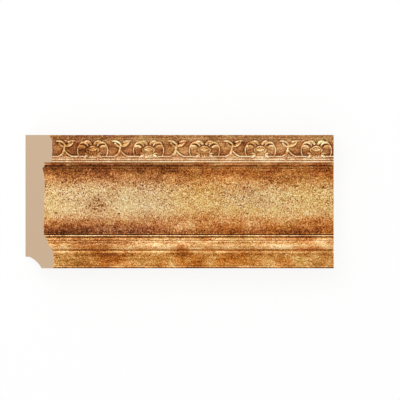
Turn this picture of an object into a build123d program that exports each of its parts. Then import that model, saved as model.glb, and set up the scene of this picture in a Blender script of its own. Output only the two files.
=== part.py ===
from build123d import *
import os

# Overall sizes of the board, in millimetres and degrees
board_length = 208.0
board_height = 90.0
board_depth = 19.0
mitre_angle = 45.0

# Foot and the relief cove behind it
foot_width = 8.2
cove_height = 7.8
cove_flat = 2.6
cove_hollow = 1.0

# Head: chamfer, frieze ground, fillet and two astragals, each by its drop
chamfer_drop = 4.1
chamfer_run = 2.1
ornament_rise = 0.85
frieze_drop = 10.7
frieze_batter = 0.25
fillet_drop = 1.2
fillet_step = 0.15
astragal_drop = 1.3
astragal_rise = 0.32
astragal_fall = 0.55

# Frieze ornament: palmettes with a leaf between each two, drawn on squared paper
ornament_pitch = 37.75
ornament_square = 1.0
first_palmette = 45.3
leaf_setback = 18.7
vine_lift = 0.15
saw_waste = 5.0

# Throat under the head: nib and quirk
throat_depth = 12.2
nib_drop = 2.1
nib_step = 0.7
nib_rise = 0.25
quirk_drop = 1.9
quirk_depth = 11.4

# Bowed body between the quirk and the base mouldings
bow_depth = 12.9
bow_shoulder = 11.0
bow_rise = 0.55
waist_depth = 12.3
waist_height = 27.5
body_rise = 0.08
flare_run = 0.25
flare_hollow = 0.1

# Base mouldings: string bead, two reeds, hollow slope and plinth
plinth_height = 12.4
plinth_round_drop = 1.5
plinth_round_run = 0.9
plinth_round_rise = 0.2
slope_drop = 4.9
slope_run = 2.9
slope_hollow = 0.4
reed_drop = 1.9
reed_run = 0.9
reed_rise = 0.22
string_drop = 1.1
string_rise = 0.45
groove_width = 0.45
groove_depth = 0.4

# Strokes of the ornament, in squares. Each has a start and an end, measured across
# from its motif's middle and up from the vine, the bow to the left of its way, the
# half widths at its start, middle and end, and its share of the ornament's rise.
palmette_middle = {
    "bud hood": ((-2.7, 5.9), (2.7, 5.9), 0.8, (0.3, 0.75, 0.3), 0.7),
    "bud lip": ((-3.1, 5.6), (3.1, 5.6), -1.5, (0.35, 0.8, 0.35), 1.0),
    "stem": ((0.0, 4.1), (0.0, -0.1), 0.0, (1.9, 2.1, 3.1), 0.5),
}
palmette_side = {
    "top leaf": ((1.0, 8.5), (6.1, 9.6), 1.15, (0.5, 1.05, 0.4), 1.0),
    "second leaf": ((3.2, 7.4), (8.8, 8.4), 1.6, (0.45, 0.8, 0.5), 0.95),
    "side vine": ((8.6, 8.5), (9.1, 0.2), 1.3, (0.5, 0.6, 0.45), 0.9),
    "third leaf": ((5.3, 6.2), (9.9, 5.9), 1.15, (0.5, 0.9, 0.35), 0.9),
    "bud leaf": ((3.8, 5.1), (2.6, 2.3), 0.4, (0.5, 0.55, 0.3), 0.65),
    "scroll": ((3.7, 0.5), (5.3, 0.3), 0.1, (0.8, 1.0, 0.7), 0.95),
    "scroll hook": ((3.4, 1.3), (6.2, 1.9), 0.75, (0.5, 0.55, 0.3), 0.8),
    "vine": ((6.4, 0.2), (14.4, 0.2), 0.0, (0.4, 0.46, 0.46), 0.9),
}
leaf_strokes = {
    "left crest": ((-5.7, 10.45), (0.5, 7.3), 1.15, (0.4, 0.7, 0.4), 1.0),
    "left blade": ((-3.9, 9.0), (-0.6, 6.4), -0.35, (0.75, 0.95, 0.6), 0.6),
    "right crest": ((2.3, 9.8), (7.2, 10.6), 0.3, (0.7, 0.65, 0.2), 1.0),
    "right edge": ((0.7, 6.8), (5.7, 10.0), -0.85, (0.5, 0.6, 0.35), 0.9),
    "right blade": ((1.2, 7.5), (4.7, 9.5), -0.15, (0.6, 0.85, 0.5), 0.6),
    "waist": ((-0.1, 7.4), (-0.5, 3.7), -0.15, (0.9, 0.85, 0.7), 0.75),
    "left foot": ((-0.4, 4.1), (-4.6, 0.2), 0.6, (0.55, 0.6, 0.46), 0.95),
    "inner rib": ((-0.1, 3.7), (-1.9, 0.3), 0.25, (0.36, 0.4, 0.3), 0.75),
    "right foot": ((0.1, 3.9), (5.3, 0.2), -0.65, (0.5, 0.6, 0.46), 0.95),
}


def section_corners():
    """Depth, height and bulge of each corner, up the back and down the front.

    The bulge is the rise of the arc that arrives at the corner: 0 for a
    straight run, more than 0 for a round and less than 0 for a hollow.
    """
    frieze_depth = board_depth - ornament_rise
    frieze_top = board_height - chamfer_drop
    frieze_foot = frieze_top - frieze_drop
    fillet_foot = frieze_foot - fillet_drop
    fillet_depth = frieze_depth - frieze_batter + fillet_step
    astragal_foot = fillet_foot - 2 * astragal_drop
    nib_foot = astragal_foot - nib_drop
    body_top = nib_foot - quirk_drop
    slope_top = plinth_height + slope_drop
    reeds_top = slope_top + 2 * reed_drop
    string_foot = reeds_top + groove_width
    string_top = string_foot + string_drop
    flare_foot = string_top + groove_width
    edge_depth = board_depth - plinth_round_run
    slope_depth = edge_depth - slope_run
    reeds_depth = slope_depth - 2 * reed_run
    flare_depth = waist_depth + flare_run
    return [
        (0, board_height, 0),
        (frieze_depth - chamfer_run, board_height, 0),
        (frieze_depth, frieze_top, 0),
        (frieze_depth - frieze_batter, frieze_foot, 0),
        (fillet_depth, frieze_foot, 0),
        (fillet_depth, fillet_foot, 0),
        (fillet_depth - astragal_fall, fillet_foot - astragal_drop, astragal_rise),
        (fillet_depth - 2 * astragal_fall, astragal_foot, astragal_rise),
        (throat_depth, astragal_foot, 0),
        (throat_depth + nib_step, nib_foot, nib_rise),
        (quirk_depth, body_top, 0),
        (bow_depth, body_top - bow_shoulder, bow_rise),
        (waist_depth, waist_height, body_rise),
        (flare_depth, flare_foot, -flare_hollow),
        (flare_depth - groove_depth, string_top, 0),
        (reeds_depth, string_foot, string_rise),
        (reeds_depth, reeds_top, 0),
        (slope_depth - reed_run, slope_top + reed_drop, reed_rise),
        (slope_depth, slope_top, reed_rise),
        (edge_depth, plinth_height, -slope_hollow),
        (board_depth, plinth_height - plinth_round_drop, plinth_round_rise),
        (board_depth, 0, 0),
        (board_depth - foot_width, 0, 0),
        (cove_flat, cove_height, -cove_hollow),
        (0, cove_height, 0),
    ]


def closed_outline(corners):
    """A closed line of straight runs and arcs through the corners."""
    runs = []
    start = corners[-1][:2]
    for depth, height, bulge in corners:
        end = (depth, height)
        if bulge:
            runs.append(SagittaArc(start, end, bulge))
        else:
            runs.append(Line(start, end))
        start = end
    return Wire(runs)


def moulded_length():
    """The section carried along the board, with the back on the floor plane."""
    section_plane = Plane(
        origin=(board_length / 2 + saw_waste, -board_height / 2, 0),
        x_dir=(0, 0, 1),
        z_dir=(-1, 0, 0),
    )
    section = Face(closed_outline(section_corners()))
    stock_length = board_length + saw_waste
    return extrude(section_plane * section, amount=stock_length, dir=(-1, 0, 0))


def stroke(start, end, bow, half_widths, rise_share):
    """One raised stroke: a curved band that swells or narrows on its way."""
    way = SagittaArc(start, end, bow) if bow else Line(start, end)
    left_side = []
    right_side = []
    for share, half_width in zip((0, 0.5, 1), half_widths):
        aside = (way % share).rotate(Axis.Z, 90) * half_width
        left_side.append(way @ share + aside)
        right_side.insert(0, way @ share - aside)
    outline = Wire([
        ThreePointArc(*left_side),
        Line(left_side[-1], right_side[0]),
        ThreePointArc(*right_side),
        Line(right_side[-1], left_side[0]),
    ])
    drawn = scale(Face(outline), by=ornament_square)
    height = chamfer_run + ornament_rise * rise_share
    return extrude(drawn, amount=height, dir=(0, 0, 1))


def on_both_sides(strokes):
    """The strokes and the same ones turned over about the motif's middle."""
    rows = list(strokes.values())
    for (start_across, start_up), (end_across, end_up), bow, half_widths, share in strokes.values():
        start = (-start_across, start_up)
        end = (-end_across, end_up)
        rows.append((start, end, -bow, half_widths, share))
    return rows


def frieze_ornament():
    """The strokes of every palmette and leaf on the board, rooted below its chamfer."""
    palmette = [stroke(*row) for row in palmette_middle.values()]
    palmette += [stroke(*row) for row in on_both_sides(palmette_side)]
    leaf = [stroke(*row) for row in leaf_strokes.values()]
    repeat = palmette + [Pos(-leaf_setback, 0, 0) * row for row in leaf]
    root_depth = board_depth - ornament_rise - chamfer_run
    vine_height = board_height / 2 - chamfer_drop - frieze_drop + vine_lift
    right_end = board_length / 2
    mitre_front = root_depth - board_length / 2
    ornament = []
    for count in range(-1, int(board_length / ornament_pitch) + 2):
        across = first_palmette + count * ornament_pitch - board_length / 2
        ornament += [Pos(across, vine_height, root_depth) * row for row in repeat]
    boxes = [row.bounding_box() for row in ornament]
    return [
        row
        for row, box in zip(ornament, boxes)
        if box.min.X < right_end and box.max.X > mitre_front
    ]


def sawn(board):
    """The board cut off square at the right and mitred for an inside corner at the left.

    The mitre starts at the end of the back and leaves the front shorter.
    """
    square_cut = Plane(origin=(board_length / 2, 0, 0), z_dir=(1, 0, 0))
    mitre_cut = Plane(origin=(-board_length / 2, 0, 0), z_dir=(1, 0, 0))
    mitre_cut = mitre_cut.rotated((0, mitre_angle, 0))
    board = split(board, bisect_by=square_cut, keep=Keep.BOTTOM)
    return split(board, bisect_by=mitre_cut, keep=Keep.TOP)


skirting_board = sawn(moulded_length() + frieze_ornament())

os.makedirs("parts", exist_ok=True)
export_step(skirting_board, "parts/skirting_board.step")
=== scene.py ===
import math

import bpy
import numpy as np
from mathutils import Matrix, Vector


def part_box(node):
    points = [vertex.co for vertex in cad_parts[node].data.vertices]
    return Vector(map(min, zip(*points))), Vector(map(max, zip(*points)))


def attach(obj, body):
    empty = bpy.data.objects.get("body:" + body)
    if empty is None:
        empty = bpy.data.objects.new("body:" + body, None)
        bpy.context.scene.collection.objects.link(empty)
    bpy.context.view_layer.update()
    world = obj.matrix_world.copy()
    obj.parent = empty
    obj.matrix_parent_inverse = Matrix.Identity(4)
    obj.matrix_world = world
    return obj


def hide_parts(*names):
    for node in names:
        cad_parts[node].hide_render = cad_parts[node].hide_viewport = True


bl_info = {
    "name": "Gilded skirting board",
    "version": (1, 0, 0),
    "blender": (4, 5, 0),
    "location": "3D View > Sidebar > Skirting",
    "description": "Builds a moulded skirting board with an antique gilt finish",
    "category": "Add Mesh",
}

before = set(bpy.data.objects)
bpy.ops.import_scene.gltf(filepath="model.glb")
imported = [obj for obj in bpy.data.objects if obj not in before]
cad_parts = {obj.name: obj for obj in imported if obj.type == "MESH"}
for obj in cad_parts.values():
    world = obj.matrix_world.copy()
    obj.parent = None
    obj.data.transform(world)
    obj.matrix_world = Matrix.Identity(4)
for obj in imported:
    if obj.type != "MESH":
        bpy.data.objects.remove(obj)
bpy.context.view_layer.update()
BOARD_LOW, BOARD_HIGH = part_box("skirting_board")
BOARD_SIZE = BOARD_HIGH - BOARD_LOW
MM = 0.001

# The mouldings of the section, in millimetres
FOOT_WIDTH = 8.2
COVE_HEIGHT = 7.8
COVE_FLAT = 2.6
COVE_HOLLOW = 1.0
CHAMFER_DROP = 4.1
CHAMFER_RUN = 2.1
FRIEZE_DROP = 10.7
FRIEZE_BATTER = 0.25
FILLET_DROP = 1.2
FILLET_STEP = 0.15
ASTRAGAL_DROP = 1.3
ASTRAGAL_RISE = 0.32
ASTRAGAL_FALL = 0.55
THROAT_DEPTH = 12.2
NIB_DROP = 2.1
NIB_STEP = 0.7
NIB_RISE = 0.25
QUIRK_DROP = 1.9
QUIRK_DEPTH = 11.4
BOW_DEPTH = 12.9
BOW_SHOULDER = 11.0
BOW_RISE = 0.55
WAIST_DEPTH = 12.3
WAIST_HEIGHT = 27.5
BODY_RISE = 0.08
FLARE_RUN = 0.25
FLARE_HOLLOW = 0.1
PLINTH_HEIGHT = 12.4
PLINTH_ROUND_DROP = 1.5
PLINTH_ROUND_RUN = 0.9
PLINTH_ROUND_RISE = 0.2
SLOPE_DROP = 4.9
SLOPE_RUN = 2.9
SLOPE_HOLLOW = 0.4
REED_DROP = 1.9
REED_RUN = 0.9
REED_RISE = 0.22
STRING_DROP = 1.1
STRING_RISE = 0.45
GROOVE_WIDTH = 0.45
GROOVE_DEPTH = 0.4

# Which corners of the section are the frieze's top and foot
FRIEZE_TOP_CORNER = 2
FRIEZE_FOOT_CORNER = 3

# How finely the board's surface is laid out, in millimetres and radians. What is
# averaged along the outline reaches a count of its steps either way.
OUTLINE_STEP = 0.05
ARRIS_STEPS = 12
TURN_STEPS = 2
BEND_STEPS = 3
BEND_FULL = 3.0
ROW_STEP = 2.0
LINED_STEP = 0.45
LINED_FOOT = 24.0
LINED_HEAD = 68.0
ROW_TURN = 0.16
CARVED_STEP = 0.19
CARVED_MARGIN = 1.0
CARVED_COLUMNS = 1024
COARSEST_LEVEL = 4
MITRE_HALVINGS = 24

# The ornament: each stroke runs from start to end along an arc that bows off the
# chord by bow, to the left of the way. It has a half width at its head, middle and
# tail, and a share of the full rise. Half a palmette is drawn and then mirrored.
PALMETTE = {
    "top leaf": ((1.0, 8.5), (6.1, 9.6), 1.15, (0.6, 1.05, 0.4), 1.0),
    "top leaf's lip": ((1.3, 7.9), (6.6, 9.4), 0.75, (0.3, 0.42, 0.2), 0.75),
    "second leaf": ((3.2, 7.4), (8.8, 8.4), 1.6, (0.55, 0.9, 0.5), 0.95),
    "side vine": ((8.6, 8.5), (9.1, 0.2), 1.3, (0.5, 0.55, 0.42), 0.75),
    "third leaf": ((5.3, 6.2), (9.9, 5.9), 1.15, (0.7, 1.0, 0.4), 0.9),
    "third leaf's back": ((6.4, 6.0), (8.8, 5.3), 0.4, (0.8, 0.9, 0.6), 0.45),
    "bud hood": ((-2.7, 5.9), (2.7, 5.9), 0.8, (0.3, 0.75, 0.3), 0.7),
    "bud mouth": ((-1.6, 5.3), (1.6, 5.3), 0.0, (0.4, 0.65, 0.4), 0.85),
    "bud lip": ((-3.1, 5.6), (3.1, 5.6), -1.5, (0.35, 0.8, 0.35), 1.0),
    "stem": ((0.0, 3.6), (0.0, 0.4), 0.0, (1.9, 2.1, 2.9), 0.42),
    "bud leaf": ((3.8, 5.1), (2.6, 2.3), 0.4, (0.5, 0.55, 0.3), 0.65),
    "cheek": ((2.3, 5.0), (2.2, 3.4), 0.0, (0.6, 0.85, 0.6), 0.5),
    "middle flute": ((0.0, 3.6), (0.0, 1.5), 0.0, (0.5, 0.42, 0.3), 0.56),
    "inner flute": ((1.05, 3.6), (1.35, 0.9), -0.15, (0.36, 0.42, 0.45), 0.56),
    "outer flute": ((2.0, 3.4), (2.6, 0.9), -0.25, (0.36, 0.42, 0.45), 0.52),
    "drop": ((0.0, 0.8), (0.0, 0.2), 0.0, (0.4, 0.6, 0.6), 1.0),
    "scroll": ((3.7, 0.5), (5.3, 0.3), 0.1, (0.8, 1.0, 0.7), 0.95),
    "scroll bulb": ((4.7, 1.6), (4.8, 1.8), 0.0, (0.7, 0.8, 0.7), 0.6),
    "scroll hook": ((3.4, 1.3), (6.2, 1.9), 0.75, (0.5, 0.55, 0.3), 0.8),
    "scroll tail": ((4.7, -0.2), (6.2, -0.5), 0.0, (0.5, 0.4, 0.25), 0.75),
    "foot": ((-3.4, -0.4), (3.4, -0.4), 0.0, (0.35, 0.5, 0.35), 0.35),
}
LEAF = {
    "left crest": ((-5.7, 10.45), (0.5, 7.3), 1.15, (0.5, 0.9, 0.45), 1.0),
    "left tip": ((-6.3, 10.6), (-4.8, 10.6), 0.0, (0.15, 0.35, 0.5), 0.85),
    "left blade": ((-3.9, 9.0), (-0.6, 6.4), -0.35, (0.75, 0.95, 0.6), 0.6),
    "left curl": ((-3.9, 9.0), (-3.5, 8.8), 0.0, (0.55, 0.62, 0.55), 0.9),
    "right crest": ((2.3, 9.8), (7.2, 10.6), 0.3, (0.8, 0.85, 0.3), 1.0),
    "right edge": ((0.7, 6.8), (5.7, 10.0), -0.85, (0.5, 0.7, 0.4), 0.95),
    "right blade": ((1.2, 7.5), (4.7, 9.5), -0.15, (0.6, 0.85, 0.5), 0.7),
    "right lobe": ((3.2, 7.4), (3.6, 7.5), 0.0, (0.6, 0.65, 0.6), 0.95),
    "waist": ((-0.1, 7.4), (-0.5, 3.7), -0.15, (0.9, 0.85, 0.7), 0.75),
    "waist rib": ((-0.4, 6.9), (-0.6, 4.2), -0.1, (0.3, 0.36, 0.4), 0.85),
    "knot": ((-0.7, 4.6), (-0.9, 4.2), 0.0, (0.6, 0.75, 0.7), 0.95),
    "knuckle": ((-1.0, 4.0), (-1.6, 2.8), 0.1, (0.6, 0.8, 0.6), 1.0),
    "left foot": ((-0.4, 4.1), (-4.6, 0.2), 0.65, (0.7, 0.72, 0.46), 0.95),
    "inner rib": ((-0.1, 3.7), (-1.9, 0.3), 0.25, (0.36, 0.4, 0.3), 0.75),
    "right foot": ((0.1, 3.9), (5.3, 0.2), -0.65, (0.5, 0.62, 0.46), 0.95),
    "gusset": ((0.3, 2.7), (0.3, 1.3), 0.0, (0.4, 0.9, 1.2), 0.35),
}
VINE = ((6.4, 0.2), (14.4, 0.2), 0.0, (0.4, 0.46, 0.46), 0.9)
LEAF_PLACE = -18.7
VINE_LIFT = 0.15

# The grid on which the ornament is drawn, in millimetres up from the vine. What is
# averaged over it reaches a count of its steps, and its last row isn't passed.
TILE_STEP = 0.05
TILE_LOW = -1.2
TILE_HIGH = 12.0
TILE_GUARD = 0.001
SOFT_STEPS = 2
HOLLOW_STEPS = 14

# Tone at each height in millimetres, from 0, black, to 1, white: the patina, with painted
# highlights on the beads and edges and painted shade in the grooves and under the nib
PATINA_AND_PAINTED_LIGHT = (
    (0.0, 0.20), (0.6, 0.34), (1.2, 0.82), (1.8, 0.44), (2.5, 0.62), (4.5, 0.57),
    (6.5, 0.54), (7.3, 0.60), (8.0, 0.50), (9.5, 0.46), (10.1, 0.50), (10.7, 0.65),
    (11.4, 0.61), (12.2, 0.43), (12.8, 0.56), (13.4, 0.73), (14.5, 0.68), (15.6, 0.67),
    (16.4, 0.61), (17.5, 0.49), (18.2, 0.64), (18.8, 0.49), (19.6, 0.65), (20.2, 0.57),
    (20.9, 0.36), (21.5, 0.27), (22.2, 0.89), (22.6, 0.16), (22.9, 0.02), (23.5, 0.53),
    (24.6, 0.22), (25.6, 0.48), (29.0, 0.50), (30.5, 0.59), (32.0, 0.60), (37.0, 0.73),
    (41.0, 0.75), (44.0, 0.72), (52.0, 0.72), (54.0, 0.67), (57.0, 0.60), (60.0, 0.53),
    (62.5, 0.46), (64.5, 0.42), (66.0, 0.39), (67.0, 0.52), (68.4, 0.57), (69.3, 0.19),
    (70.0, 0.58), (70.7, 0.70), (71.3, 0.84), (72.1, 0.86), (72.8, 0.44), (73.5, 0.83),
    (74.1, 0.51), (74.8, 0.63), (75.4, 0.70), (75.9, 0.50), (77.0, 0.47), (83.5, 0.48),
    (85.0, 0.44), (86.2, 0.50), (86.9, 0.44), (87.6, 0.55), (88.2, 0.45), (88.8, 0.43),
    (89.4, 0.47), (90.0, 0.47),
)
# Tint at each height in millimetres, from green, below 0, to red, above 0
TINTS = (
    (0.0, 0.10), (12.0, 0.10), (13.0, 0.0), (22.0, 0.05), (23.5, 0.38), (29.0, 0.42),
    (33.0, 0.15), (38.0, -0.22), (47.0, -0.32), (53.0, -0.25), (58.0, 0.05), (66.0, 0.15),
    (69.0, 0.20), (70.5, 0.30), (72.0, 0.15), (75.0, 0.10), (76.0, 0.05), (84.5, 0.05),
    (87.0, -0.15), (90.0, -0.15),
)
# How far rounds and relief lighten the tone and grooves and recesses darken it, and how dull
# the frieze's ground is.
# Rounds and the ornament's crests get a painted highlight, and grooves and recesses get
# painted shade over the patina left in them. The relief's own lightening is its rubbed gold.
ROUND_HIGHLIGHT = 0.12
GROOVE_SHADE_AND_PATINA = 0.20
RELIEF_TONE = 0.24
CREST_HIGHLIGHT = 0.38
RECESS_SHADE_AND_PATINA = 0.72
GROUND_DULL = 0.9

# Clouds in the patina: place along the board and up it, half sizes in
# millimetres, how much they darken and how much they redden
CLOUDS = {
    "gold at the plinth's left": (-72.0, 6.0, 11.0, 7.0, 0.02, -0.15),
    "copper on the plinth": (-46.0, 5.0, 13.0, 6.5, 0.13, 0.45),
    "gold on the plinth": (-20.0, 6.0, 14.0, 7.0, -0.04, -0.15),
    "copper by the middle": (6.0, 7.5, 10.0, 8.0, 0.10, 0.35),
    "copper right of the middle": (38.0, 6.0, 14.0, 7.0, 0.0, 0.20),
    "red foot of the plinth": (68.0, 3.0, 9.0, 3.0, 0.05, 0.35),
    "gold at the plinth's right": (88.0, 6.0, 20.0, 7.0, -0.06, -0.15),
    "red reeds at the left": (-72.0, 19.6, 11.0, 1.6, 0.08, 0.20),
    "copper reeds at the left": (-52.0, 19.6, 10.0, 2.6, 0.13, 0.20),
    "copper slope at the left": (-57.0, 14.5, 15.0, 2.7, 0.17, 0.30),
    "pale slope": (-14.0, 17.0, 13.0, 2.6, -0.11, -0.05),
    "pale slope by the middle": (8.0, 17.4, 7.0, 1.5, -0.10, 0.0),
    "red reeds by the middle": (17.0, 19.6, 5.0, 2.4, 0.07, 0.65),
    "red slope by the middle": (2.0, 13.5, 4.0, 2.5, 0.10, 0.30),
    "pale reeds right of the middle": (31.0, 19.8, 6.0, 2.4, -0.15, 0.0),
    "copper slope right of the middle": (27.0, 14.3, 9.0, 2.6, 0.08, 0.30),
    "pale reeds at the right": (52.0, 19.6, 20.0, 2.6, -0.10, -0.05),
    "pale slope at the right": (67.0, 15.2, 12.0, 3.0, -0.23, -0.15),
    "red reeds at the right": (83.5, 19.4, 7.5, 2.4, 0.06, 1.1),
    "red slope at the right": (88.5, 13.3, 10.0, 1.4, 0.10, 1.0),
    "pale end of the slope": (98.0, 17.6, 7.0, 2.2, -0.24, -0.15),
    "umber at the left foot": (-72.0, 25.0, 20.0, 3.6, 0.22, -0.15),
    "umber left of the middle": (-37.0, 25.0, 9.0, 2.8, 0.15, 0.05),
    "red cloud on the bow": (-21.0, 27.5, 7.0, 2.6, 0.10, 0.20),
    "light foot of the bow": (2.0, 27.5, 15.0, 4.6, -0.14, -0.25),
    "brown above the light foot": (17.0, 35.0, 16.0, 4.0, 0.12, 0.15),
    "red foot of the bow": (32.0, 26.5, 9.0, 2.8, 0.07, 0.40),
    "light gap in the bow's foot": (52.0, 30.0, 8.0, 4.0, -0.10, 0.0),
    "dark red spot": (64.0, 26.0, 4.5, 1.6, 0.12, 0.30),
    "umber spot": (83.0, 25.5, 6.0, 2.2, 0.13, 0.05),
    "red corner": (96.0, 28.0, 10.0, 5.0, 0.02, 0.65),
    "brown foot at the left": (-66.0, 32.0, 14.0, 3.5, 0.06, 0.05),
    "brown about the cluster": (-55.0, 41.0, 10.0, 6.5, 0.09, 0.10),
    "umber by the mitre": (-68.0, 67.5, 22.0, 2.6, 0.16, -0.15),
    "brown by the mitre": (-66.0, 62.0, 18.0, 3.0, 0.03, 0.10),
    "red flecks": (-44.5, 66.0, 3.5, 4.0, -0.06, 0.35),
    "umber left of the middle's top": (-14.0, 66.8, 24.0, 2.8, 0.15, 0.0),
    "brown left of the middle": (-22.0, 60.5, 15.0, 3.6, 0.09, 0.05),
    "golden middle": (22.0, 50.0, 24.0, 12.0, 0.05, 0.05),
    "golden top of the middle": (36.0, 62.0, 18.0, 6.0, -0.05, 0.15),
    "red brown at the right": (59.0, 65.0, 8.0, 3.6, 0.07, 0.25),
    "light top at the right": (77.0, 65.5, 8.0, 3.0, -0.08, 0.10),
    "red brown at the end": (96.0, 64.5, 10.0, 4.5, 0.04, 0.35),
    "red nib by the mitre": (-85.0, 70.2, 9.0, 1.4, 0.10, 0.45),
    "dark nib at the left": (-61.0, 70.4, 12.0, 1.0, 0.20, -0.05),
    "light nib": (-46.0, 70.4, 5.0, 1.0, -0.10, 0.20),
    "dark nib": (-30.0, 70.4, 8.0, 1.0, 0.18, 0.0),
    "dark red nib": (14.0, 70.4, 6.0, 1.0, 0.10, 0.30),
    "pale nib": (34.0, 70.4, 12.0, 1.0, -0.17, 0.20),
    "second pale nib": (59.0, 70.4, 6.0, 1.0, -0.12, 0.15),
    "red end of the nib": (90.0, 70.4, 14.0, 1.0, 0.08, 0.35),
    "dark beads at the left": (-70.0, 73.5, 11.0, 2.4, 0.14, 0.05),
    "dark beads left of the middle": (-15.0, 73.5, 9.0, 2.4, 0.09, 0.10),
    "light beads right of the middle": (38.0, 73.5, 11.0, 2.4, -0.11, -0.05),
    "light beads at the end": (92.0, 73.5, 12.0, 2.4, -0.14, -0.05),
    "light frieze at the left": (-84.0, 81.0, 10.0, 6.0, -0.06, -0.1),
    "light frieze at the right": (97.0, 81.0, 10.0, 6.0, -0.05, -0.05),
    "light chamfer at the left": (-78.0, 88.5, 8.0, 2.4, -0.09, 0.0),
    "dark chamfer": (-52.0, 88.6, 18.0, 1.8, 0.09, 0.0),
    "light chamfer": (80.0, 88.5, 28.0, 2.4, -0.07, 0.0),
}

# Dull places in the patina: place along the board and up it, half sizes in
# millimetres, and how much they lose of their colour, or gain where it is below 0
DULL_PLACES = {
    "left of the body": (-64.0, 47.0, 30.0, 16.0, 1.7),
    "body left of the middle": (-22.0, 47.0, 22.0, 16.0, 1.7),
    "left foot of the body": (-45.0, 25.5, 42.0, 3.0, 1.3),
    "body right of the middle": (52.0, 48.0, 22.0, 8.0, 1.4),
    "nib at the left": (-50.0, 70.4, 36.0, 1.6, 0.6),
    "beads": (0.0, 73.5, 300.0, 2.6, 1.3),
    "slope above the plinth": (-20.0, 17.0, 60.0, 1.8, 0.7),
    "chamfer": (0.0, 88.6, 300.0, 2.8, 1.3),
    "plinth, which is richer": (30.0, 5.0, 110.0, 7.0, -0.7),
}

# Small dark marks: place along the board and up it, half length and half height
# in millimetres, and how much they darken
MARKS = {
    "nick at the left": (-83.4, 37.4, 1.0, 0.6, 0.5),
    "nick by the cluster": (-41.0, 36.9, 1.0, 0.6, 0.6),
    "nick near the middle": (-5.3, 52.2, 0.9, 0.6, 0.55),
    "low nick at the right": (45.7, 37.0, 1.0, 0.6, 0.5),
    "crack at the right": (97.5, 54.2, 6.0, 0.3, 0.4),
    "scar of the cluster": (-55.0, 46.0, 1.2, 2.0, 0.18),
    "second scar of the cluster": (-52.5, 42.5, 1.6, 1.2, 0.2),
    "third scar of the cluster": (-57.5, 40.0, 1.4, 1.0, 0.15),
}
# Where dark specks crowd together, given as a mark is
PEPPERED = (-56.5, 43.0, 8.0, 6.0, 0.85)
# Where a mark starts to fade and where it ends, in its half sizes
MARK_EDGE = (0.4, 1.2)

# Bands of the board's height in millimetres: where each fades in and fades out
BODY_BAND = ((22.6, 23.4), (68.8, 69.6))
BOW_BAND = ((30.0, 36.0), (56.0, 62.0))
FRIEZE_BAND = ((75.6, 76.2), (84.6, 85.6))

# Noise in the patina. First come its size in millimetres, its detail, its roughness
# and two factors on the place along the board and up it: below 1 they draw it out.
# Then come its strength and what is added to that on the body, off the middle of
# the bow and on the frieze.
NOISES = {
    "drifts": ((11.0, 2.0, 0.6, 0.3, 1.0), (0.5, -0.3, 0.0, 0.0)),
    "blotches": ((5.0, 3.0, 0.65, 0.55, 1.0), (0.25, 0.0, 0.3, 0.0)),
    "streaks": ((1.1, 2.0, 0.6, 0.08, 1.0), (0.24, -0.24, 0.0, 0.0)),
    "flecks": ((1.1, 2.0, 0.6, 0.5, 1.0), (0.42, 0.0, 0.0, 0.0)),
    "grain": ((0.45, 1.0, 0.6, 1.0, 1.0), (1.3, -0.2, 0.0, -0.5)),
    # Varies the relief's rubbed gold together with its painted highlights and painted shade
    "wear of the relief and its highlights": ((2.0, 1.0, 0.5, 1.0, 1.0), (2.0, 0.0, 0.0, 0.0)),
    "fine hues": ((1.4, 1.0, 0.5, 1.0, 1.0), (0.5, 1.0, 0.0, 0.0)),
    "broad hues": ((9.0, 1.0, 0.5, 1.0, 1.0), (0.7, 0.0, 0.6, 0.0)),
    "fading": ((7.0, 1.0, 0.5, 1.0, 1.0), (0.0, 0.1, 0.0, 0.0)),
}
TONE_NOISES = ("drifts", "blotches", "streaks", "flecks", "grain")
# Spots in the patina: the first five settings as above, and the values of the noise
# at which a spot starts and is full
SPOTS = {
    "worms": ((0.8, 0.0, 0.5, 1.0, 0.7), (-0.10, 0.10)),
    "pits": ((0.7, 1.0, 0.5, 1.0, 0.7), (0.06, 0.16)),
    "crowds": ((9.0, 2.0, 0.5, 1.0, 1.0), (-0.15, 0.10)),
    "specks": ((0.9, 1.0, 0.5, 1.0, 1.0), (0.0, 0.1)),
}

# How the relief, with its painted highlight and shade, the worms and the pits count in the
# tone
RELIEF_STRENGTH = 1.05
WORM_STRENGTH = 0.03
WORM_STRENGTH_ON_BODY = 0.09
PIT_STRENGTH = 0.36
FEWEST_PITS = 0.4
PITS_LOST_OFF_BOW = 0.6

# Colours of the gilt by tone
GILT_STOPS = (
    (0.03, "soot"), (0.23, "umber"), (0.38, "russet"), (0.53, "copper"), (0.68, "gold"),
    (0.83, "pale"), (1.0, "cream"),
)
# Colours that multiply the gilt: their side of the hue, the hue at which they are
# full, and their share there
HUES = {"blush": (1, 0.5, 0.75), "olive": (-1, 0.4, 0.6)}
# How much a dull place fades, the tone from which it does so in full, and how much
# darker fading makes the colour
DULL_FADING = 0.08
FADED_TONE = 0.8
FADED_DARKER = 0.5

# Gloss of the gilt: the tones between which it gets rubbed, its metallic and its
# roughness value where it is plain, each with what rubbing adds, and its fine bumps
RUBBED_TONES = (0.25, 0.75)
METALLIC = (0.25, 0.45)
ROUGHNESS = (0.6, -0.2)
SPECULAR = 0.1
BUMP_STRENGTH = 0.5
BUMP_DEPTH = 0.05

# The foam: size of its cells in millimetres, their detail and roughness, how dark
# the darkest are, and its gloss
FOAM_CELLS = (0.7, 2.0, 0.6)
FOAM_DARKEST = 0.93
FOAM_ROUGHNESS = 0.85

# Fixed sizes and places of the stage, in metres
FLOOR_REACH = 3.0
FLOOR_GREY = 0.97
FLOOR_ROUGHNESS = 0.9
SOFTBOX_SIZE = 0.5
SOFTBOX_PLACE = (-0.15, 0.3, 0.6)
CAMERA_HEIGHT = 0.6


def length_property(name, description, default):
    """A length that a user would change."""
    return bpy.props.FloatProperty(
        name=name, description=description, default=default, unit="LENGTH", precision=5)


def colour_property(name, description, default):
    """A colour that a user would change."""
    return bpy.props.FloatVectorProperty(
        name=name, description=description, default=default, size=3, subtype="COLOR",
        min=0.0, max=1.0)


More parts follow.
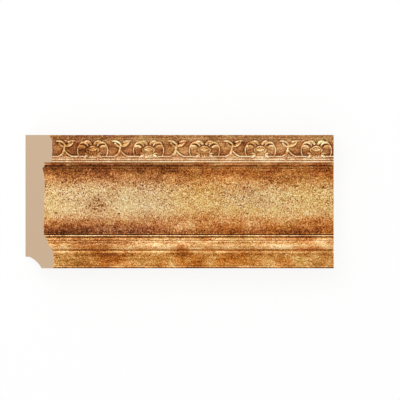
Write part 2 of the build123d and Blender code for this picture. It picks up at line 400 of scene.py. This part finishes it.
class BoardSizes(bpy.types.PropertyGroup):
    """Sizes of the board that a user would change."""

    length: length_property(
        "Length", "Length of the board's back", BOARD_SIZE.x)
    height: length_property(
        "Height", "Height from the foot to the top edge", BOARD_SIZE.y)
    depth: length_property(
        "Depth", "Depth from the wall to the plinth's face", BOARD_SIZE.z)
    mitre: bpy.props.FloatProperty(
        name="Mitre", description="Angle of the left end's saw cut",
        default=math.radians(45.0), subtype="ANGLE")
    arris: length_property(
        "Arris", "How far the moulded edges are softened", 0.1 * MM)
    ornament_rise: length_property(
        "Ornament rise", "How far the ornament stands off the frieze", 0.85 * MM)
    ornament_pitch: length_property(
        "Ornament pitch", "Distance from one palmette to the next", 37.75 * MM)
    first_palmette: length_property(
        "First palmette", "Distance of a palmette from the back's left end", 45.3 * MM)


class GiltColours(bpy.types.PropertyGroup):
    """Colours of the finish that a user would change."""

    # Soot and umber are reached where painted shade lies in the grooves and recesses, over the
    # patina left in them
    soot: colour_property(
        "Soot", "Darkest patina, left in the grooves", (0.018, 0.006, 0.001))
    umber: colour_property(
        "Umber", "Dark patina beside the grooves", (0.09, 0.018, 0.001))
    russet: colour_property(
        "Russet", "Brown patina at the edges of the bow", (0.29, 0.082, 0.009))
    copper: colour_property(
        "Copper", "Reddish gold", (0.475, 0.185, 0.036))
    gold: colour_property(
        "Gold", "Plain gold", (0.64, 0.35, 0.11))
    pale: colour_property(
        "Pale gold", "Rubbed gold", (0.80, 0.57, 0.285))
    # Pale gold and cream are reached where painted highlights lie on the ornament's crests and
    # on the beads, besides the worn gilt
    cream: colour_property(
        "Cream", "Worn highlights of the ornament", (1.0, 0.84, 0.54))
    blush: colour_property(
        "Blush", "Tint of the redder places, which multiplies the gilt", (1.0, 0.74, 0.60))
    olive: colour_property(
        "Olive", "Tint of the greener places, which multiplies the gilt", (0.86, 1.0, 0.75))
    core: colour_property(
        "Core", "Foam that shows on the back and the cut ends", (0.597, 0.429, 0.283))


class StudioSizes(bpy.types.PropertyGroup):
    """Sizes of the stage that a user would change."""

    view_width: length_property(
        "View width", "Width of the camera's square view", 0.270)
    view_right: length_property(
        "View right", "How far the view's centre lies right of the board's", 0.0138)
    view_up: length_property(
        "View up", "How far the view's centre lies above the board's", 0.0011)
    sky: bpy.props.FloatProperty(
        name="Sky", description="Strength of the light from all around", default=0.80)
    softbox: bpy.props.FloatProperty(
        name="Softbox", description="Power of the large light in watts", default=1.5)
    glow: bpy.props.FloatProperty(
        name="Glow", description="Share of plain white that the camera sees in the floor",
        subtype="FACTOR", default=0.85)


def section_corners(sizes):
    """Depth, height and bulge of each corner in millimetres, along the top,
    down the front and round the foot and the cove to the back.

    The bulge is the rise of the arc that arrives at the corner: 0 for a
    straight run, more than 0 for a round and less than 0 for a hollow.
    """
    height = sizes.height / MM
    depth = sizes.depth / MM
    frieze_depth = depth - sizes.ornament_rise / MM
    frieze_top = height - CHAMFER_DROP
    frieze_foot = frieze_top - FRIEZE_DROP
    fillet_foot = frieze_foot - FILLET_DROP
    fillet_depth = frieze_depth - FRIEZE_BATTER + FILLET_STEP
    astragal_foot = fillet_foot - 2 * ASTRAGAL_DROP
    nib_foot = astragal_foot - NIB_DROP
    body_top = nib_foot - QUIRK_DROP
    slope_top = PLINTH_HEIGHT + SLOPE_DROP
    reeds_top = slope_top + 2 * REED_DROP
    string_foot = reeds_top + GROOVE_WIDTH
    string_top = string_foot + STRING_DROP
    flare_foot = string_top + GROOVE_WIDTH
    edge_depth = depth - PLINTH_ROUND_RUN
    slope_depth = edge_depth - SLOPE_RUN
    reeds_depth = slope_depth - 2 * REED_RUN
    flare_depth = WAIST_DEPTH + FLARE_RUN
    return [
        (0, height, 0),
        (frieze_depth - CHAMFER_RUN, height, 0),
        (frieze_depth, frieze_top, 0),
        (frieze_depth - FRIEZE_BATTER, frieze_foot, 0),
        (fillet_depth, frieze_foot, 0),
        (fillet_depth, fillet_foot, 0),
        (fillet_depth - ASTRAGAL_FALL, fillet_foot - ASTRAGAL_DROP, ASTRAGAL_RISE),
        (fillet_depth - 2 * ASTRAGAL_FALL, astragal_foot, ASTRAGAL_RISE),
        (THROAT_DEPTH, astragal_foot, 0),
        (THROAT_DEPTH + NIB_STEP, nib_foot, NIB_RISE),
        (QUIRK_DEPTH, body_top, 0),
        (BOW_DEPTH, body_top - BOW_SHOULDER, BOW_RISE),
        (WAIST_DEPTH, WAIST_HEIGHT, BODY_RISE),
        (flare_depth, flare_foot, -FLARE_HOLLOW),
        (flare_depth - GROOVE_DEPTH, string_top, 0),
        (reeds_depth, string_foot, STRING_RISE),
        (reeds_depth, reeds_top, 0),
        (slope_depth - REED_RUN, slope_top + REED_DROP, REED_RISE),
        (slope_depth, slope_top, REED_RISE),
        (edge_depth, PLINTH_HEIGHT, -SLOPE_HOLLOW),
        (depth, PLINTH_HEIGHT - PLINTH_ROUND_DROP, PLINTH_ROUND_RISE),
        (depth, 0, 0),
        (depth - FOOT_WIDTH, 0, 0),
        (COVE_FLAT, COVE_HEIGHT, -COVE_HOLLOW),
        (0, COVE_HEIGHT, 0),
    ]


def run_points(start, end, bulge):
    """Points from start to just before end.

    A straight run, or the circle through both whose middle stands off the
    chord by the bulge, to the left of the way from start to end.
    """
    chord = end - start
    length = np.hypot(*chord)
    count = max(2, math.ceil(length / OUTLINE_STEP))
    share = np.arange(count) / count
    normal = np.array([-chord[1], chord[0]]) / length
    rise = np.zeros(count)
    if bulge:
        radius = (length ** 2 / 4 + bulge ** 2) / (2 * abs(bulge))
        across = (share - 0.5) * length
        rise = np.sign(bulge) * (np.sqrt(radius ** 2 - across ** 2) - radius + abs(bulge))
    return start + share[:, None] * chord + rise[:, None] * normal


def soft_outline(corners, softness):
    """The section's closed outline at even steps, with its edges softened.

    Each point is the average of the outline near it, weighted by a bell curve
    of the softness. Also gives where along the outline the foot's front edge
    lies, in steps.
    """
    points = [np.array(corner[:2], float) for corner in corners]
    runs = [run_points(points[i - 1], points[i], corners[i][2])
            for i in range(1, len(corners))]
    runs.append(run_points(points[-1], points[0], 0))
    loop = np.vstack(runs)
    closed = np.vstack([loop, loop[:1]])
    reach = np.concatenate([[0], np.cumsum(np.hypot(*np.diff(closed, axis=0).T))])
    steps = int(reach[-1] / OUTLINE_STEP)
    even = np.arange(steps) * reach[-1] / steps
    outline = np.column_stack([np.interp(even, reach, closed[:, k]) for k in (0, 1)])
    window = np.arange(-ARRIS_STEPS, ARRIS_STEPS + 1) * OUTLINE_STEP
    bell = np.exp(-0.5 * (window / softness) ** 2)
    bell /= bell.sum()
    padded = np.pad(outline, ((ARRIS_STEPS, ARRIS_STEPS), (0, 0)), mode="wrap")
    outline = np.column_stack([np.convolve(padded[:, k], bell, "valid") for k in (0, 1)])
    foot_corner = [corner[1] for corner in corners].index(0)
    foot_reach = reach[sum(len(run) for run in runs[:foot_corner])]
    return outline, foot_reach / reach[-1] * steps


def turning(outline):
    """How much the closed outline turns at each point, in radians a millimetre.

    It is above 0 on rounds and edges, and below 0 in hollows and grooves.
    """
    ahead = np.roll(outline, -1, axis=0) - outline
    angle = np.arctan2(ahead[:, 1], ahead[:, 0])
    turn = (np.roll(angle, 1) - angle + math.pi) % (2 * math.pi) - math.pi
    return turn / OUTLINE_STEP


def smoothed(values, width):
    """Running average of a closed row of values, over the width in steps either way."""
    padded = np.pad(values, width, mode="wrap")
    return np.convolve(padded, np.ones(2 * width + 1) / (2 * width + 1), "valid")


def stroke(across, up, start, end, bow, widths):
    """Height of one stroke of the ornament, from 0 to 1.

    The stroke's spine is the circle through start and end whose middle stands
    off the chord by bow, or the chord itself. Each point takes the nearest
    point of the spine. The half width there is the parabola through the
    widths at head, middle and tail. The section is half an ellipse, which is
    lower by the root of the share of width where the stroke is narrower.
    """
    start, end = np.array(start), np.array(end)
    chord = end - start
    length = np.hypot(*chord)
    along = chord / length
    normal = np.array([-along[1], along[0]])
    x = (across - start[0]) * along[0] + (up - start[1]) * along[1] - length / 2
    y = (across - start[0]) * normal[0] + (up - start[1]) * normal[1]
    if bow:
        side = np.sign(bow)
        radius = (length ** 2 / 4 + bow ** 2) / (2 * abs(bow))
        middle = bow - side * radius
        reach = math.asin(length / 2 / radius)
        angle = np.clip(np.arctan2(x, side * (y - middle)), -reach, reach)
        near_x = radius * np.sin(angle)
        near_y = middle + side * radius * np.cos(angle)
        share = (angle / reach + 1) / 2
    else:
        near_x = np.clip(x, -length / 2, length / 2)
        near_y = 0.0
        share = near_x / length + 0.5
    head, belly, tail = widths
    width = head * (1 - share) * (1 - 2 * share) + 4 * belly * share * (1 - share)
    width = width + tail * share * (2 * share - 1)
    off = ((x - near_x) ** 2 + (y - near_y) ** 2) / width ** 2
    return np.sqrt(np.clip(1 - off, 0, 1)) * np.sqrt(width / max(widths))


def ornament_tile(pitch):
    """Height of the ornament over one pitch, from 0 to 1, on a fine grid.

    Rows go up from below the vine, columns go along with the palmette in the
    middle, and the highest stroke wins. The tile repeats along the board.
    """
    count = round(pitch / TILE_STEP)
    across = np.arange(count) * pitch / count - pitch / 2
    across, up = np.meshgrid(across, np.arange(TILE_LOW, TILE_HIGH, TILE_STEP))
    from_leaf = (across - LEAF_PLACE + pitch / 2) % pitch - pitch / 2
    drawn = [(side, row) for side in (across, -across) for row in (*PALMETTE.values(), VINE)]
    drawn += [(from_leaf, row) for row in LEAF.values()]
    height = np.zeros_like(across)
    for place, (start, end, bow, widths, rise) in drawn:
        height = np.maximum(height, rise * stroke(place, up, start, end, bow, widths))
    return blurred(height, SOFT_STEPS)


def blurred(tile, width):
    """A tile averaged twice over a square that reaches the width either way.

    It wraps round along the board, and its lowest and highest rows are held.
    """
    span = 2 * width + 1
    for axis, mode in ((0, "edge"), (1, "wrap")) * 2:
        sides = [(0, 0), (0, 0)]
        sides[axis] = (width + 1, width)
        total = np.cumsum(np.pad(tile, sides, mode=mode), axis=axis)
        size = tile.shape[axis]
        later = np.take(total, np.arange(span, span + size), axis)
        tile = (later - np.take(total, np.arange(size), axis)) / span
    return tile


def sampled(tile, pitch, across, up):
    """The tile's value at each place, mixed from its four nearest grid points."""
    column = ((across + pitch / 2) / pitch * tile.shape[1]) % tile.shape[1]
    row = np.clip((up - TILE_LOW) / TILE_STEP, 0, tile.shape[0] - 1 - TILE_GUARD)
    left, low = np.floor(column).astype(int), np.floor(row).astype(int)
    right_share, high_share = column - left, row - low
    left, right = left % tile.shape[1], (left + 1) % tile.shape[1]
    below = tile[low, left] * (1 - right_share) + tile[low, right] * right_share
    above = tile[low + 1, left] * (1 - right_share) + tile[low + 1, right] * right_share
    return below * (1 - high_share) + above * high_share


def carved_left(sizes, tile, depth, up):
    """Where each carved row starts, in millimetres: where it meets the mitre.

    The mitre starts at the back's left end and goes in by the depth times
    the tangent of its angle. The ornament adds to the depth, so the meeting
    place is halved down to between no ornament and the full rise.
    """
    half = sizes.length / 2 / MM
    slant = math.tan(sizes.mitre)
    rise = sizes.ornament_rise / MM
    pitch = sizes.ornament_pitch / MM
    first = sizes.first_palmette / MM - half
    low = -half + depth * slant
    high = low + rise * slant
    for _ in range(MITRE_HALVINGS):
        middle = (low + high) / 2
        top = rise * sampled(tile, pitch, middle - first, up)
        short = middle < -half + (depth + top) * slant
        low = np.where(short, middle, low)
        high = np.where(short, high, middle)
    return (low + high) / 2


def clouded(across, height, rows):
    """How much the places in the rows change the patina at each point.

    Each row has a middle, two half sizes and one or more strengths. It is a
    bell curve over its half sizes, and all rows are added up, one sum for
    each strength.
    """
    sums = 0
    for middle, level, wide, high, *strengths in rows:
        bell = np.exp(-((across - middle) / wide) ** 2 - ((height - level) / high) ** 2)
        sums = sums + np.outer(strengths, bell)
    return sums


def patina(across, up, bend, top, crest, on_frieze):
    """Tone, tint, relief and dullness of the gilt at each point.

    Tone and tint follow the height up the board; the tone holds the patina
    with painted highlights on the beads and edges and painted shade in the
    grooves. Where the section bends, the tone is lighter on a round, a painted
    highlight, and darker in a groove, painted shade over the patina there. The
    relief is lighter where the ornament is high, its rubbed gold, with a painted
    highlight where it stands out from what is near it, and darker where it lies
    back, painted shade over the patina in the recess. The clouds change tone and
    tint, and the dull places and the bare frieze lose their colour.
    """
    bends = (-BEND_FULL, 0, BEND_FULL)
    # Tone by height: the patina with painted highlights on the beads and edges and painted
    # shade in the grooves
    tone = np.interp(up, *zip(*PATINA_AND_PAINTED_LIGHT))
    # Painted highlight on the rounds and painted shade over the patina in the grooves
    tone += np.interp(bend, bends, (-GROOVE_SHADE_AND_PATINA, 0, ROUND_HIGHLIGHT))
    shade, red = clouded(across, up, CLOUDS.values())
    dull, = clouded(across, up, DULL_PLACES.values())
    dull += np.where(on_frieze, GROUND_DULL * (1 - top), 0)
    # Raised ornament is lighter as rubbed gold; its crests get a painted highlight and its
    # recesses painted shade over the patina
    relief = RELIEF_TONE * top + CREST_HIGHLIGHT * np.maximum(crest, 0)
    relief += RECESS_SHADE_AND_PATINA * np.minimum(crest, 0)
    tint = np.interp(up, *zip(*TINTS)) + red
    return {"tone": tone - shade, "tint": tint, "relief": relief, "dull": dull}


def laid_out(outline, turn, corners):
    """Where each row of the surface lies along the outline, in steps, and which
    rows are on the frieze.

    The density of the rows is added up along the outline, and the rows lie at
    even shares of the sum. It is highest on the frieze. Elsewhere it has one
    value on the lined mouldings and a lower one on the back and the body, and
    how much the outline turns is added to both.
    """
    depth, height = outline.T
    frieze_foot = corners[FRIEZE_FOOT_CORNER][1]
    frieze_top = corners[FRIEZE_TOP_CORNER][1]
    carved = (height > frieze_foot + VINE_LIFT + TILE_LOW) & (depth > THROAT_DEPTH)
    carved &= height < frieze_top + CARVED_MARGIN
    lined = (height < LINED_FOOT) | (height > LINED_HEAD)
    lined &= (depth > COVE_FLAT) & (height > 0) & (height < corners[0][1])
    density = np.where(lined, 1 / LINED_STEP, 1 / ROW_STEP)
    density += smoothed(np.abs(turn), TURN_STEPS) / ROW_TURN
    density = np.where(carved, 1 / CARVED_STEP, density)
    total = np.concatenate([[0], np.cumsum(density) * OUTLINE_STEP])
    rows = int(round(total[-1]))
    place = np.interp(np.arange(rows) * total[-1] / rows, total, np.arange(len(total)))
    on_frieze = np.interp(place, np.arange(len(outline)), carved.astype(float)) > 0.5
    return place, on_frieze


def board_mesh(sizes):
    """The whole board as one closed surface: its points, faces, which faces are
    gilded, and the patina at each point, with its painted highlights and shade.

    Rows follow the section's outline and columns run from the mitre to the
    square end. Rows on the frieze carry the ornament on the finest columns,
    and each row away from it has half as many, down to the coarsest. The gilt
    ends half a step before the foot's front edge.
    """
    half = sizes.length / 2 / MM
    pitch = sizes.ornament_pitch / MM
    corners = section_corners(sizes)
    vine_height = corners[FRIEZE_FOOT_CORNER][1] + VINE_LIFT
    outline, foot_at = soft_outline(corners, sizes.arris / MM)
    turn = turning(outline)
    place, on_frieze = laid_out(outline, turn, corners)
    closed = np.vstack([outline, outline[:1]])
    depth, height = (np.interp(place, np.arange(len(closed)), side) for side in closed.T)
    bend = np.interp(place, np.arange(len(turn)), smoothed(turn, BEND_STEPS))

    tile = ornament_tile(pitch)
    # Where the ornament stands out from what is near it, for a painted highlight, and where it
    # lies back, for painted shade
    crests = tile - blurred(tile, HOLLOW_STEPS)
    left = -half + depth * math.tan(sizes.mitre)
    left[on_frieze] = carved_left(
        sizes, tile, depth[on_frieze], height[on_frieze] - vine_height)

    rows = np.arange(len(place))
    away = np.abs(rows[:, None] - np.flatnonzero(on_frieze)).min(1)
    count = (CARVED_COLUMNS >> np.minimum(away, COARSEST_LEVEL)) + 1
    first = np.concatenate([[0], np.cumsum(count)[:-1]])
    row = np.repeat(rows, count)
    share = (np.arange(count.sum()) - first[row]) / (count[row] - 1)
    across = left[row] + share * (half - left[row])
    up = height[row]
    from_palmette = across - (sizes.first_palmette / MM - half)
    top, crest = (
        np.where(on_frieze[row], sampled(relief, pitch, from_palmette, up - vine_height), 0)
        for relief in (tile, crests))
    out = np.minimum(depth[row] + sizes.ornament_rise / MM * top, sizes.depth / MM)
    places = np.column_stack([across, up - sizes.height / 2 / MM, out]) * MM
    finish = patina(across, up, bend[row], top, crest, on_frieze[row])

    faces, gilt = [], []
    before_foot = place + 0.5 < foot_at
    for low in rows:
        high = (low + 1) % len(rows)
        made = row_faces(first[low], count[low], first[high], count[high])
        faces += made
        gilt += [before_foot[low]] * len(made)
    mitred_end, square_end = first, (first + count - 1)[::-1]
    faces += [mitred_end.tolist(), square_end.tolist()]
    gilt += [False, False]
    return places, faces, gilt, finish


def row_faces(first, count, next_first, next_count):
    """Faces between a row and the next: squares where both have as many points,
    and three triangles to each wider step where one has twice as many."""
    if count == next_count:
        left = np.arange(count - 1)
        square = [first + left, next_first + left, next_first + left + 1, first + left + 1]
        return np.column_stack(square).tolist()
    if count > next_count:
        wide = np.arange(next_count - 1)
        fine, other = first + 2 * wide, next_first + wide
        parts = [(fine, other, fine + 1), (other, other + 1, fine + 1),
                 (fine + 1, other + 1, fine + 2)]
    else:
        wide = np.arange(count - 1)
        other, fine = first + wide, next_first + 2 * wide
        parts = [(other, fine, fine + 1), (other, fine + 1, other + 1),
                 (other + 1, fine + 1, fine + 2)]
    return np.vstack([np.column_stack(part) for part in parts]).tolist()


class Signal:
    """One socket of a material in a Python expression.

    Operators on numbers add Math nodes. Colours and vectors go through mix()
    and stretched(), and node() makes any other node.
    """

    def __init__(self, tree, socket=None):
        self.tree = tree
        self.socket = socket

    def node(self, kind, settings=None, inputs=None, output=0):
        """A new node with its settings, then the values or links of its sockets."""
        made = self.tree.nodes.new(kind)
        for name, value in (settings or {}).items():
            if name == "stops":
                fill_ramp(made.color_ramp, value)
            else:
                setattr(made, name, value)
        for name, value in (inputs or {}).items():
            if isinstance(value, Signal):
                self.tree.links.new(value.socket, made.inputs[name])
            else:
                made.inputs[name].default_value = value
        return Signal(self.tree, made.outputs[output])

    def math(self, operation, *values):
        """What a Math node makes of the values."""
        return self.node("ShaderNodeMath", {"operation": operation}, dict(enumerate(values)))

    def either(self, other):
        """The larger of this and the other."""
        return self.math("MAXIMUM", self, other)

    def mix(self, share, low, high, blend="MIX"):
        """Two colours mixed by a share, in the Mix node's sockets for colours."""
        settings = {"data_type": "RGBA", "blend_type": blend}
        return self.node("ShaderNodeMix", settings, {0: share, 6: low, 7: high}, output=2)

    def ramp(self, stops):
        """The colour at this number, mixed between (place, colour) stops."""
        return self.node("ShaderNodeValToRGB", {"stops": stops}, {"Fac": self})

    def stretched(self, x, y, z):
        """This position with each axis multiplied."""
        return self.node(
            "ShaderNodeVectorMath", {"operation": "MULTIPLY"}, {0: self, 1: (x, y, z)})

    def between(self, low, high):
        """0 at low, 1 at high, eased between them and held outside."""
        return self.node(
            "ShaderNodeMapRange", {"interpolation_type": "SMOOTHSTEP"},
            {"Value": self, "From Min": low, "From Max": high})

    def noise(self, size, detail, roughness, along=1.0, up=1.0):
        """Cloudy noise about 0 with features of the size in millimetres, which are
        drawn out where the factors along the board and up it are below 1."""
        place = self.stretched(along, up, 1.0)
        inputs = {"Vector": place, "Scale": 1 / size, "Detail": detail, "Roughness": roughness}
        return self.node("ShaderNodeTexNoise", {}, inputs) - 0.5

    def __add__(self, other):
        return self.math("ADD", self, other)

    def __radd__(self, other):
        return self.math("ADD", other, self)

    def __sub__(self, other):
        return self.math("SUBTRACT", self, other)

    def __rsub__(self, other):
        return self.math("SUBTRACT", other, self)

    def __mul__(self, other):
        return self.math("MULTIPLY", self, other)

    def __rmul__(self, other):
        return self.math("MULTIPLY", other, self)


def fill_ramp(ramp, stops):
    """Puts the (place, colour) stops into a colour ramp."""
    while len(ramp.elements) > 1:
        ramp.elements.remove(ramp.elements[0])
    ramp.elements[0].position = stops[0][0]
    ramp.elements[0].color = (*stops[0][1], 1.0)
    for place, colour in stops[1:]:
        ramp.elements.new(place).color = (*colour, 1.0)


def new_material(name):
    """A material with a bare Principled shader, and the signal that starts its nodes."""
    material = bpy.data.materials.new(name)
    material.use_nodes = True
    tree = material.node_tree
    return material, tree.nodes["Principled BSDF"], Signal(tree)


def connect(shader, socket, signal):
    """Links a signal to one of the shader's sockets."""
    signal.tree.links.new(signal.socket, shader.inputs[socket])


def in_millimetres(start):
    """The place on the object, in millimetres."""
    return start.node("ShaderNodeTexCoord", output="Object").stretched(1 / MM, 1 / MM, 1 / MM)


def shown(start):
    """1 for the rays that show a surface to the camera or in a gloss, and 0 for the rest."""
    camera, glossy, transmission = (
        start.node("ShaderNodeLightPath", output=name)
        for name in ("Is Camera Ray", "Is Glossy Ray", "Is Transmission Ray"))
    return camera.either(glossy).either(transmission)


def smudge(place, sizes, mark):
    """How much one small dark mark takes off the tone: an ellipse with a soft edge."""
    across, height, half_length, half_height, dark = mark
    up = height - sizes.height / 2 / MM
    scale = (1 / half_length, 1 / half_height, 0.0)
    centre = (across * scale[0], up * scale[1], 0.0)
    far = place.node(
        "ShaderNodeVectorMath", {"operation": "DISTANCE"},
        {0: place.stretched(*scale), 1: centre}, output="Value")
    return (1 - far.between(*MARK_EDGE)) * dark


def within(height, fade_in, fade_out):
    """1 in a band of heights and 0 outside it, eased at both of its edges."""
    return height.between(*fade_in) * (1 - height.between(*fade_out))


def noise_layers(place, bands):
    """Every noise of the patina, times its strength in the bands."""
    layers = {}
    for name, (settings, (strength, *extras)) in NOISES.items():
        for band, extra in zip(bands, extras):
            if extra:
                strength = strength + band * extra
        layers[name] = place.noise(*settings) * strength
    return layers


def gilt_tone(place, sizes, painted, layers, on_body, off_bow):
    """Tone of the gilt: the painted tone and relief, which hold painted highlights
    and shade besides the patina, with noise and worms, less pits and marks."""
    spots = {
        name: place.noise(*settings).between(*edge)
        for name, (settings, edge) in SPOTS.items()}
    pits = spots["pits"] * (FEWEST_PITS + spots["crowds"]) * (1 - off_bow * PITS_LOST_OFF_BOW)
    pits = pits + smudge(place, sizes, PEPPERED) * spots["specks"]
    # The relief adds rubbed gold, painted highlights and painted shade, varied by noise
    tone = painted["tone"] + painted["relief"] * (RELIEF_STRENGTH + layers["wear of the relief and its highlights"])
    for name in TONE_NOISES:
        tone = tone + layers[name]
    tone = tone + (spots["worms"] - 0.5) * (WORM_STRENGTH + on_body * WORM_STRENGTH_ON_BODY)
    tone = tone - pits * PIT_STRENGTH
    for mark in MARKS.values():
        tone = tone - smudge(place, sizes, mark)
    return tone


def gilt_colour(tone, painted, layers, colours):
    """Colour of the gilt: the tone's own, redder or greener by the hue, and faded."""
    colour = tone.ramp([(at, getattr(colours, name)) for at, name in GILT_STOPS])
    hue = painted["tint"] + layers["fine hues"] + layers["broad hues"] - layers["drifts"]
    for name, (side, full, share) in HUES.items():
        tint = (*getattr(colours, name), 1.0)
        colour = tone.mix((hue * side).between(0.0, full) * share, colour, tint, "MULTIPLY")
    faded = painted["dull"] * DULL_FADING + layers["fading"]
    faded = faded * tone.between(0.0, FADED_TONE)
    return tone.node(
        "ShaderNodeHueSaturation", {},
        {"Saturation": 1 - faded, "Value": 1 - faded * FADED_DARKER, "Color": colour})


def gilt_material(sizes, colours):
    """Antique gilt: the painted tone of each point, which holds painted highlights and shade
    besides the patina, with noise, pits and marks, turned into the colours from soot to
    cream, tinted, faded and rubbed."""
    material, shader, start = new_material("antique_gilt")
    place = in_millimetres(start)
    height = place.node("ShaderNodeSeparateXYZ", {}, {0: place}, "Y") + sizes.height / 2 / MM
    painted = {
        name: start.node("ShaderNodeAttribute", {"attribute_name": name}, output="Fac")
        for name in ("tone", "tint", "relief", "dull")}
    on_body = within(height, *BODY_BAND)
    off_bow = 1 - on_body * within(height, *BOW_BAND)
    layers = noise_layers(place, (on_body, off_bow, within(height, *FRIEZE_BAND)))
    tone = gilt_tone(place, sizes, painted, layers, on_body, off_bow)
    connect(shader, "Base Color", gilt_colour(tone, painted, layers, colours))

    rubbed = tone.between(*RUBBED_TONES)
    for socket, (plain, added) in (("Metallic", METALLIC), ("Roughness", ROUGHNESS)):
        connect(shader, socket, plain + rubbed * added)
    shader.inputs["Specular IOR Level"].default_value = SPECULAR
    bump = start.node(
        "ShaderNodeBump", {},
        {"Strength": BUMP_STRENGTH, "Distance": BUMP_DEPTH * MM, "Height": layers["grain"]})
    connect(shader, "Normal", bump)
    return material


def core_material(colours):
    """Foam of the back and the cut ends: beige, matt and finely celled."""
    material, shader, start = new_material("foam_core")
    core = (*colours.core, 1.0)
    cells = in_millimetres(start).noise(*FOAM_CELLS) + 0.5
    shade = start.mix(cells, tuple(FOAM_DARKEST * part for part in core), core)
    connect(shader, "Base Color", shade)
    shader.inputs["Roughness"].default_value = FOAM_ROUGHNESS
    return material


def placed(name, data, place=(0.0, 0.0, 0.0)):
    """A new object of the scene that shows the data at the place."""
    made = bpy.data.objects.new(name, data)
    made.location = place
    bpy.context.scene.collection.objects.link(made)
    return made


def new_object(name, places, faces):
    """A mesh object at the origin with the given points and faces."""
    mesh = bpy.data.meshes.new(name)
    mesh.from_pydata(places.tolist(), [], faces)
    return placed(name, mesh)


def mark_sharp(mesh, rim):
    """Keeps the shading apart on both sides of the edges that join the rim's points."""
    ends = np.empty(2 * len(mesh.edges), np.int32)
    mesh.edges.foreach_get("vertices", ends)
    on_rim = np.isin(ends.reshape(-1, 2), rim).all(1)
    mesh.edges.foreach_set("use_edge_sharp", on_rim)


def make_floor(studio):
    """A wide floor, which the camera sees as nearly plain white."""
    corners = np.array([(-1, -1, 0), (1, -1, 0), (1, 1, 0), (-1, 1, 0)]) * FLOOR_REACH
    floor = new_object("floor", corners, [(0, 1, 2, 3)])
    material, shader, start = new_material("floor")
    shader.inputs["Base Color"].default_value = (FLOOR_GREY, FLOOR_GREY, FLOOR_GREY, 1.0)
    shader.inputs["Roughness"].default_value = FLOOR_ROUGHNESS
    white = start.node("ShaderNodeEmission", {}, {"Strength": 1.0})
    seen = start.node(
        "ShaderNodeMixShader", {},
        {0: shown(start) * studio.glow, 1: Signal(start.tree, shader.outputs[0]), 2: white})
    start.tree.links.new(seen.socket, start.tree.nodes["Material Output"].inputs["Surface"])
    floor.data.materials.append(material)


def make_sky(scene, studio):
    """Even light from all around, which the camera sees as plain white."""
    world = bpy.data.worlds.new("studio")
    world.use_nodes = True
    background = world.node_tree.nodes["Background"]
    background.inputs["Color"].default_value = (1.0, 1.0, 1.0, 1.0)
    strength = shown(Signal(world.node_tree)) * (1 - studio.sky) + studio.sky
    connect(background, "Strength", strength)
    scene.world = world


def make_softbox(studio):
    """The large light above the board, which faces its middle."""
    lamp = bpy.data.lights.new("softbox", "AREA")
    lamp.energy = studio.softbox
    lamp.shape = "SQUARE"
    lamp.size = SOFTBOX_SIZE
    softbox = placed("softbox", lamp, SOFTBOX_PLACE)
    aim = Vector((0.0, 0.0, 0.0)) - softbox.location
    softbox.rotation_euler = aim.to_track_quat("-Z", "Y").to_euler()


def make_camera(scene, studio):
    """The camera, which looks straight down at the board without perspective."""
    lens = bpy.data.cameras.new("camera")
    lens.type = "ORTHO"
    lens.ortho_scale = studio.view_width
    scene.camera = placed("camera", lens, (studio.view_right, studio.view_up, CAMERA_HEIGHT))
    scene.view_settings.view_transform = "Standard"


class SKIRTING_OT_board(bpy.types.Operator):
    """Builds the board with its ornament and finish"""

    bl_idname = "skirting.board"
    bl_label = "Skirting board"

    def execute(self, context):
        sizes = context.scene.skirting_sizes
        colours = context.scene.skirting_colours
        places, faces, gilt, finish = board_mesh(sizes)
        board = new_object("gilded_board", places, faces)
        mesh = board.data
        mesh.materials.append(gilt_material(sizes, colours))
        mesh.materials.append(core_material(colours))
        mesh.polygons.foreach_set("material_index", np.where(gilt, 0, 1).astype(np.int32))
        mitred_end, square_end = faces[-2:]
        mark_sharp(mesh, mitred_end + square_end)
        smooth = np.ones(len(faces), bool)
        smooth[-2:] = False
        mesh.polygons.foreach_set("use_smooth", smooth)
        for name, values in finish.items():
            mesh.attributes.new(name, "FLOAT", "POINT").data.foreach_set("value", values)
        mesh.update()
        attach(board, "root")
        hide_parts("skirting_board")
        return {"FINISHED"}


class SKIRTING_OT_stage(bpy.types.Operator):
    """Builds the floor, the lights and the camera"""

    bl_idname = "skirting.stage"
    bl_label = "Stage"

    def execute(self, context):
        scene = context.scene
        studio = scene.skirting_studio
        make_floor(studio)
        make_sky(scene, studio)
        make_softbox(studio)
        make_camera(scene, studio)
        return {"FINISHED"}


class SKIRTING_PT_panel(bpy.types.Panel):
    """Lists the steps that build the board and its stage"""

    bl_label = "Skirting board"
    bl_idname = "SKIRTING_PT_panel"
    bl_space_type = "VIEW_3D"
    bl_region_type = "UI"
    bl_category = "Skirting"

    def draw(self, context):
        for group in GROUPS:
            values = getattr(context.scene, group)
            for name in values.__annotations__:
                self.layout.prop(values, name)
        for step in STEPS:
            self.layout.operator(step.bl_idname)


GROUPS = {
    "skirting_sizes": BoardSizes,
    "skirting_colours": GiltColours,
    "skirting_studio": StudioSizes,
}
STEPS = (SKIRTING_OT_board, SKIRTING_OT_stage)


def register():
    for kind in (*GROUPS.values(), *STEPS, SKIRTING_PT_panel):
        bpy.utils.register_class(kind)
    for name, group in GROUPS.items():
        setattr(bpy.types.Scene, name, bpy.props.PointerProperty(type=group))


def unregister():
    for name in GROUPS:
        delattr(bpy.types.Scene, name)
    for kind in (SKIRTING_PT_panel, *reversed(STEPS), *GROUPS.values()):
        bpy.utils.unregister_class(kind)


def main():
    register()
    for step in STEPS:
        group, name = step.bl_idname.split(".")
        getattr(getattr(bpy.ops, group), name)()


if __name__ == "__main__":
    main()
